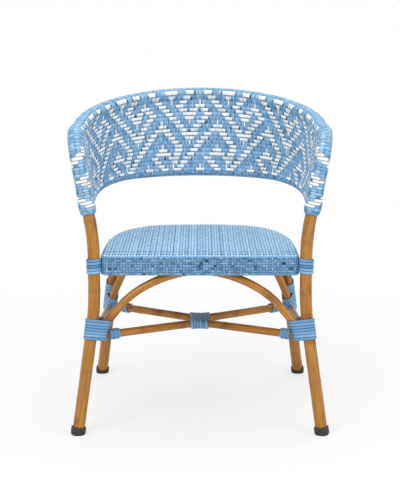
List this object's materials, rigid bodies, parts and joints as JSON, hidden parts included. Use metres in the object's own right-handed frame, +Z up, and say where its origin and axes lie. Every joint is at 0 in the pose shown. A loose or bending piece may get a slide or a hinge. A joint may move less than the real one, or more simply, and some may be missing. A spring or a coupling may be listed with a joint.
{
  "type": "rattan bistro armchair",
  "caption": "Bistro armchair of bent rattan poles with a woven wraparound back, a woven seat with an apron, arched braces, crossed stretchers and cord bindings.",
  "frame": {"origin": "on the floor, under the middle of the chair's bounding box", "axes": "+Z up, -Y the front of the seat, +X the side at the right hand of someone who looks at the front"},
  "size_m": [0.6518, 0.5688, 0.8237],
  "materials": {
    "rattan": "satin varnished rattan with lengthwise grain",
    "back_weave": "flat woven strands in blue and white, half gloss",
    "seat_weave": "flat woven blue strands, half gloss",
    "cord": "glossy blue strands wound side by side",
    "rubber": "matt black rubber",
    "steel": "plain steel screws"
  },
  "bodies": {
    "root": {"seat_weave": "seat_weave", "apron_band": "seat_weave", "seat_front_rail": "rattan", "seat_hoop": "rattan", "apron_edge_front": "rattan", "apron_edge_hoop": "rattan", "seat_cross_rail_1": "rattan", "seat_cross_rail_2": "rattan", "bow_pole": "rattan", "back_bottom_rail": "rattan", "woven_back": "back_weave", "back_spindle_1_left": "rattan", "back_spindle_1_right": "rattan", "back_spindle_2_left": "rattan", "back_spindle_2_right": "rattan", "back_spindle_3_left": "rattan", "back_spindle_3_right": "rattan", "back_spindle_middle": "rattan", "rear_leg_left": "rattan", "rear_leg_right": "rattan", "front_arch": "rattan", "rear_arch": "rattan", "joint_screw_front_left": "steel", "joint_screw_front_right": "steel", "joint_screw_rear_left": "steel", "joint_screw_rear_right": "steel", "front_vee_stretcher": "rattan", "rear_vee_stretcher": "rattan", "side_stretcher_left": "rattan", "side_stretcher_right": "rattan", "seat_binding_front_left": "cord", "seat_binding_front_right": "cord", "seat_binding_rear_left": "cord", "seat_binding_rear_right": "cord", "front_leg_binding_left": "cord", "front_leg_binding_right": "cord", "rear_leg_binding_left": "cord", "rear_leg_binding_right": "cord", "rear_leg_top_binding_left": "cord", "rear_leg_top_binding_right": "cord", "front_vee_sleeve_left": "cord", "front_vee_sleeve_right": "cord", "rear_vee_sleeve_left": "cord", "rear_vee_sleeve_right": "cord", "side_sleeve_left": "cord", "side_sleeve_right": "cord", "vee_middle_binding": "cord", "front_foot_cap_left": "rubber", "front_foot_cap_right": "rubber", "rear_foot_cap_left": "rubber", "rear_foot_cap_right": "rubber"}
  },
  "joints": []
}
